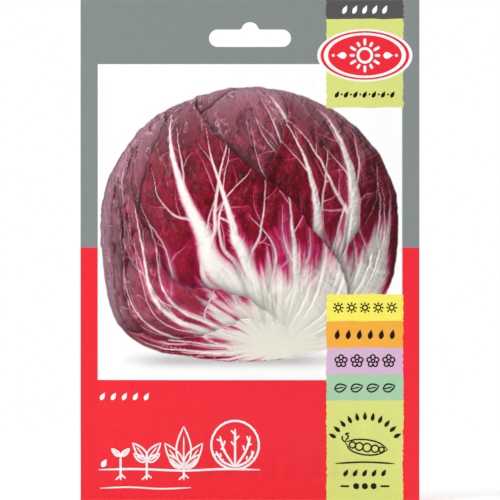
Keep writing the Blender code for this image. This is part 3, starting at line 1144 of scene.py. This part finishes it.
def group(name, inputs, outputs):
    """A shader group with named sockets: (name, socket type, default)."""
    tree = bpy.data.node_groups.new(name, "ShaderNodeTree")
    for label, kind, default in inputs:
        socket = tree.interface.new_socket(label, in_out="INPUT", socket_type=kind)
        if default is not None:
            socket.default_value = default
    for label, kind in outputs:
        tree.interface.new_socket(label, in_out="OUTPUT", socket_type=kind)
    return tree, tree.nodes.new("NodeGroupInput"), tree.nodes.new("NodeGroupOutput")


def add(tree, kind, values=None, **settings):
    """A new node with its settings, and with values on its inputs."""
    node = tree.nodes.new(kind)
    for key, value in settings.items():
        setattr(node, key, value)
    for label, value in (values or {}).items():
        node.inputs[label].default_value = value
    return node


def noise_node(tree, vector, scale, detail):
    """A Noise Texture's value at a vector."""
    node = add(tree, "ShaderNodeTexNoise", {"Scale": scale, "Detail": detail}, noise_dimensions="3D")
    tree.links.new(vector, node.inputs["Vector"])
    return node.outputs["Fac"]


def map_range(tree, value, from_min, from_max, to_min, to_max):
    """A Map Range node on a value."""
    limits = {"From Min": from_min, "From Max": from_max, "To Min": to_min, "To Max": to_max}
    node = add(tree, "ShaderNodeMapRange", limits)
    tree.links.new(value, node.inputs["Value"])
    return node


def math_node(tree, operation, first, second=0.0):
    """A Math node's output, from sockets or numbers."""
    node = add(tree, "ShaderNodeMath", operation=operation)
    for socket, value in zip(node.inputs, (first, second)):
        if isinstance(value, (int, float)):
            socket.default_value = value
        else:
            tree.links.new(value, socket)
    return node.outputs[0]


def box_mask_group():
    """1 inside a printed box and 0 outside, in millimetres. Edges are wavy and sides torn, as a label's."""
    sides = (("Left", 0.0), ("Right", 1.0), ("Low", 0.0), ("High", 1.0), ("Waviness", 0.0))
    inputs = [("Vector", "NodeSocketVector", None)]
    inputs += [(label, "NodeSocketFloat", value) for label, value in sides]
    tree, given, out = group("printed_box", inputs, [("Mask", "NodeSocketFloat")])
    place, waviness = given.outputs["Vector"], given.outputs["Waviness"]
    split = add(tree, "ShaderNodeSeparateXYZ")
    tree.links.new(place, split.inputs[0])
    shift = math_node(tree, "SUBTRACT", noise_node(tree, place, 0.11, 1.5), 0.5)
    shift = math_node(tree, "MULTIPLY", shift, waviness)
    tear = math_node(tree, "SUBTRACT", noise_node(tree, place, 0.9, 3.0), 0.5)
    tear = math_node(tree, "MULTIPLY", math_node(tree, "MULTIPLY", tear, 1.4), waviness)
    x = math_node(tree, "ADD", math_node(tree, "ADD", split.outputs["X"], shift), tear)
    z = math_node(tree, "ADD", split.outputs["Z"], shift)
    mask = math_node(tree, "GREATER_THAN", x, given.outputs["Left"])
    for value, operation, limit in (
        (x, "LESS_THAN", "Right"),
        (z, "GREATER_THAN", "Low"),
        (z, "LESS_THAN", "High"),
    ):
        mask = math_node(tree, "MULTIPLY", mask, math_node(tree, operation, value, given.outputs[limit]))
    tree.links.new(mask, out.inputs["Mask"])
    return tree


def film_grain_group():
    """Fine unevenness of laminated film, as a height and as a roughness."""
    tree, given, out = group(
        "film_grain",
        [("Vector", "NodeSocketVector", None)],
        [("Height", "NodeSocketFloat"), ("Gloss", "NodeSocketFloat")],
    )
    fine = noise_node(tree, given.outputs["Vector"], 3.0, 3.0)
    broad = noise_node(tree, given.outputs["Vector"], 0.09, 2.0)
    height = math_node(tree, "MULTIPLY", broad, 0.3)
    height = math_node(tree, "ADD", height, math_node(tree, "MULTIPLY", fine, 0.2))
    tree.links.new(height, out.inputs["Height"])
    gloss = math_node(tree, "ADD", math_node(tree, "MULTIPLY", broad, 0.10), 0.22)
    tree.links.new(gloss, out.inputs["Gloss"])
    return tree


def printed(colour):
    """A display colour as the film's own, which is a little darker than full white."""
    return (*(PRINT_WHITE * c for c in colour), 1)


def millimetres(tree):
    """Object coordinates in millimetres."""
    place = add(tree, "ShaderNodeTexCoord")
    scale = add(tree, "ShaderNodeVectorMath", {"Scale": 1 / MM}, operation="SCALE")
    tree.links.new(place.outputs["Object"], scale.inputs[0])
    return scale.outputs[0]


def blank_material(name, roughness):
    """A new material, its node tree and its shader."""
    made = bpy.data.materials.new(name)
    made.use_nodes = True
    shader = made.node_tree.nodes["Principled BSDF"]
    for label, value in (("Roughness", roughness), ("IOR", 1.45), ("Specular IOR Level", 0.25)):
        shader.inputs[label].default_value = value
    return made, made.node_tree, shader


def link_bump(tree, shader, height, strength, distance):
    """Feeds a height into a shader's normal."""
    bump = add(tree, "ShaderNodeBump", {"Strength": strength, "Distance": distance})
    tree.links.new(height, bump.inputs["Height"])
    tree.links.new(bump.outputs["Normal"], shader.inputs["Normal"])


def over(tree, under, mask, colour):
    """colour laid over what is under it, where the mask is 1."""
    mix = add(tree, "ShaderNodeMix", data_type="RGBA")
    tree.links.new(mask, mix.inputs["Factor"])
    for socket, value in ((mix.inputs["A"], under), (mix.inputs["B"], colour)):
        if isinstance(value, tuple):
            socket.default_value = value
        else:
            tree.links.new(value, socket)
    return mix.outputs["Result"]


def film_finish(tree, shader, place, grain):
    """Links the film's fine bump and gloss into a shader."""
    film = add(tree, "ShaderNodeGroup", node_tree=grain)
    tree.links.new(place, film.inputs["Vector"])
    link_bump(tree, shader, film.outputs["Height"], 0.12, 0.2 * MM)
    tree.links.new(film.outputs["Gloss"], shader.inputs["Roughness"])


def printed_field(tree, place, boxes, x_span, z_span, waviness=0.0):
    """The mask of a printed box."""
    values = dict(zip(("Left", "Right", "Low", "High", "Waviness"), (*x_span, *z_span, waviness)))
    box = add(tree, "ShaderNodeGroup", node_tree=boxes)
    for label, value in values.items():
        box.inputs[label].default_value = value
    tree.links.new(place, box.inputs["Vector"])
    return box.outputs["Mask"]


def badge_reach(tree, place):
    """Distance from the badge's middle, the same all along one of its ovals."""
    split = add(tree, "ShaderNodeSeparateXYZ")
    tree.links.new(place, split.inputs[0])
    x = math_node(tree, "SUBTRACT", split.outputs["X"], BADGE[0])
    x = math_node(tree, "MULTIPLY", x, BADGE_OVAL)
    z = math_node(tree, "SUBTRACT", split.outputs["Z"], BADGE[1])
    squares = [math_node(tree, "MULTIPLY", value, value) for value in (x, z)]
    return math_node(tree, "SQRT", math_node(tree, "ADD", *squares))


def front_material(name, boxes, grain, picture=None):
    """The front's printed fields. picture names the colour attribute that fills the window."""
    made, tree, shader = blank_material(name, FILM_ROUGHNESS)
    place = millimetres(tree)
    red_part = printed_field(tree, place, boxes, ALL_ACROSS, RED_Z)
    colour = over(tree, printed(GREY), red_part, printed(RED))
    window = printed(WHITE)
    if picture:
        window = add(tree, "ShaderNodeVertexColor", layer_name=picture).outputs["Color"]
    colour = over(tree, colour, printed_field(tree, place, boxes, (-WINDOW_X, WINDOW_X), WINDOW_Z), window)
    for span, ink in TABS:
        tab = printed_field(tree, place, boxes, TABS_X, span, TAB_WAVINESS)
        colour = over(tree, colour, tab, printed(ink))
    away = badge_reach(tree, place)
    for step, ink in BADGE_RINGS:
        ring_mask = math_node(tree, "LESS_THAN", away, BADGE_RADIUS + step)
        colour = over(tree, colour, ring_mask, printed(ink))
    tree.links.new(colour, shader.inputs["Base Color"])
    film_finish(tree, shader, place, grain)
    return made


def back_material(name, boxes, grain):
    """The back's printed fields: a white panel between a grey header and a red foot."""
    made, tree, shader = blank_material(name, FILM_ROUGHNESS)
    place = millimetres(tree)
    colour = printed(WHITE)
    for span, ink in ((BACK_HEADER_Z, GREY), (BACK_FOOT_Z, RED)):
        colour = over(tree, colour, printed_field(tree, place, boxes, ALL_ACROSS, span), printed(ink))
    tree.links.new(colour, shader.inputs["Base Color"])
    film_finish(tree, shader, place, grain)
    return made


def plain_film(name, colour, grain):
    """One flat ink on the film."""
    made, tree, shader = blank_material(name, FILM_ROUGHNESS)
    shader.inputs["Base Color"].default_value = printed(colour)
    film_finish(tree, shader, millimetres(tree), grain)
    return made


def seed_material():
    """Brown husk, each seed with a tone of its own."""
    made, tree, shader = blank_material("seed_husk", HUSK_ROUGHNESS)
    own = add(tree, "ShaderNodeAttribute", attribute_name="tone")
    speck = noise_node(tree, millimetres(tree), 2.4, 4.0)
    value = math_node(tree, "MULTIPLY", own.outputs["Fac"], 0.6)
    value = math_node(tree, "ADD", value, math_node(tree, "MULTIPLY", speck, 0.5))
    husk = add(tree, "ShaderNodeValToRGB")
    for stop, position, colour in zip(husk.color_ramp.elements, (0.15, 0.95), (HUSK_DARK, HUSK_PALE)):
        stop.position = position
        stop.color = (*colour, 1)
    tree.links.new(value, husk.inputs["Fac"])
    tree.links.new(husk.outputs["Color"], shader.inputs["Base Color"])
    link_bump(tree, shader, speck, 0.5, 0.1 * MM)
    return made


# Stage

FLOOR_RADIUS = 0.9
FLOOR_GAP = 0.2 * MM
FLOOR_FADE = (0.25, 0.85)
FLOOR_COLOUR = (0.93, 0.93, 0.93, 1)
FLOOR_ROUGHNESS = 0.9
# Light all round, by height, and lamps: where they stand, their sizes and their power
SKY_HEIGHT = (-0.6, 0.8)
SKY_STRENGTH = (0.20, 0.54)
LAMPS = (
    ("key", (-0.80, -0.75, 0.45), (0.6, 0.6), 9.6),
    ("fill", (0.75, -0.80, -0.15), (0.7, 0.9), 2.6),
    ("back_light", (0.35, 0.85, 0.40), (0.9, 0.7), 10.0),
)
CAMERA_DISTANCE = 2.0
# The packet's height over the height that the camera sees
FRAME_FILL = 1.003


def stage_floor():
    """A pale floor that fades out into the white of the studio."""
    spot = (0, 0, FOOT - FLOOR_GAP)
    bpy.ops.mesh.primitive_circle_add(vertices=96, radius=FLOOR_RADIUS, fill_type="NGON", location=spot)
    floor = bpy.context.object
    floor.name = "studio_floor"
    bpy.ops.object.transform_apply(location=True, rotation=True, scale=True)
    made = bpy.data.materials.new("studio_floor")
    made.use_nodes = True
    tree = made.node_tree
    shader = tree.nodes["Principled BSDF"]
    shader.inputs["Base Color"].default_value = FLOOR_COLOUR
    shader.inputs["Roughness"].default_value = FLOOR_ROUGHNESS
    shader.inputs["Specular IOR Level"].default_value = 0.0
    place = add(tree, "ShaderNodeTexCoord")
    flat = add(tree, "ShaderNodeVectorMath", operation="MULTIPLY")
    flat.inputs[1].default_value = (1, 1, 0)
    length = add(tree, "ShaderNodeVectorMath", operation="LENGTH")
    fade = map_range(tree, length.outputs["Value"], *FLOOR_FADE, 1.0, 0.0)
    fade.interpolation_type = "SMOOTHSTEP"
    tree.links.new(place.outputs["Object"], flat.inputs[0])
    tree.links.new(flat.outputs[0], length.inputs[0])
    tree.links.new(fade.outputs["Result"], shader.inputs["Alpha"])
    floor.data.materials.append(made)


def soft_light(name, place, size, power):
    """A broad lamp that looks at the packet's middle."""
    light = bpy.data.lights.new(name, "AREA")
    light.shape = "RECTANGLE"
    light.size, light.size_y = size
    light.energy = power
    lamp = bpy.data.objects.new(name, light)
    bpy.context.scene.collection.objects.link(lamp)
    lamp.location = place
    aim = Vector((0, 0, (TOP + FOOT) / 2)) - Vector(place)
    lamp.rotation_euler = aim.to_track_quat("-Z", "Y").to_euler()


def studio():
    """White all round for the camera, softer for the light it gives, with broad lamps in front and behind."""
    world = bpy.data.worlds.new("studio")
    bpy.context.scene.world = world
    world.use_nodes = True
    tree = world.node_tree
    tree.nodes.clear()
    path = add(tree, "ShaderNodeLightPath")
    seen = add(tree, "ShaderNodeBackground", {"Color": (1, 1, 1, 1)})
    giving = add(tree, "ShaderNodeBackground", {"Color": (1, 1, 1, 1)})
    sky = add(tree, "ShaderNodeTexCoord")
    split = add(tree, "ShaderNodeSeparateXYZ")
    tree.links.new(sky.outputs["Generated"], split.inputs[0])
    brighter_above = map_range(tree, split.outputs["Z"], *SKY_HEIGHT, *SKY_STRENGTH)
    tree.links.new(brighter_above.outputs["Result"], giving.inputs["Strength"])
    choice = add(tree, "ShaderNodeMixShader")
    out = add(tree, "ShaderNodeOutputWorld")
    tree.links.new(path.outputs["Is Camera Ray"], choice.inputs["Fac"])
    tree.links.new(giving.outputs[0], choice.inputs[1])
    tree.links.new(seen.outputs[0], choice.inputs[2])
    tree.links.new(choice.outputs[0], out.inputs["Surface"])

    for lamp in LAMPS:
        soft_light(*lamp)
    bpy.context.scene.view_settings.view_transform = "Standard"


def front_camera():
    """Straight on to the front, from so far that the packet's height just fills the square frame."""
    camera = bpy.data.cameras.new("camera")
    camera.sensor_width = 36
    camera.lens = FRAME_FILL * camera.sensor_width * (CAMERA_DISTANCE + CAD_FRONT) / HEIGHT
    seen_by = bpy.data.objects.new("camera", camera)
    bpy.context.scene.collection.objects.link(seen_by)
    seen_by.location = (0, -CAMERA_DISTANCE, (TOP + FOOT) / 2)
    seen_by.rotation_euler = (math.radians(90), 0, 0)
    camera.clip_end = 10
    bpy.context.scene.camera = seen_by


def main():
    """Lays the films, their printing, the picture and the seed, and sets the studio round them."""
    boxes = box_mask_group()
    grain = film_grain_group()
    cutter = slot_cutter()
    front = web("front_skin", -1, FRONT_SEED, cutter)
    finish_piece(front, front_material("front_print", boxes, grain), "front_film", "front_web")
    back = web("back_skin", 1, BACK_SEED, cutter)
    finish_piece(back, back_material("back_print", boxes, grain), "back_film", "back_web")
    bpy.data.objects.remove(cutter)

    columns, rows, colour = paint_head()
    picture = front_material("picture_print", boxes, grain, "picture")
    middle = len(columns) // 2
    for name, span in (("left", slice(0, middle + 1)), ("right", slice(middle, len(columns)))):
        finish_piece(picture_half(f"head_picture_{name}", span, colour, columns, rows), picture, "front_film")

    white_ink = plain_film("white_ink", WHITE, grain)
    dark_ink = plain_film("dark_ink", INK, grain)
    red_ink = plain_film("red_ink", RED, grain)
    for name, strokes, side, seed, ink in (
        ("title_drawing", title_ornaments(), -1, FRONT_SEED, white_ink),
        ("header_seeds", header_seeds(), -1, FRONT_SEED, white_ink),
        ("badge_sun", badge_sun(), -1, FRONT_SEED, white_ink),
        ("tab_drawings", tab_drawings(), -1, FRONT_SEED, dark_ink),
        ("back_drawings", back_drawings(), 1, BACK_SEED, dark_ink),
        ("month_marks", month_marks(), 1, BACK_SEED, red_ink),
    ):
        slot = "front_film" if side < 0 else "back_film"
        finish_piece(draw(name, strokes, side, seed), ink, slot)

    finish_piece(seed_heap(), seed_material(), "seed", "seed_fill")

    stage_floor()
    studio()
    front_camera()


main()
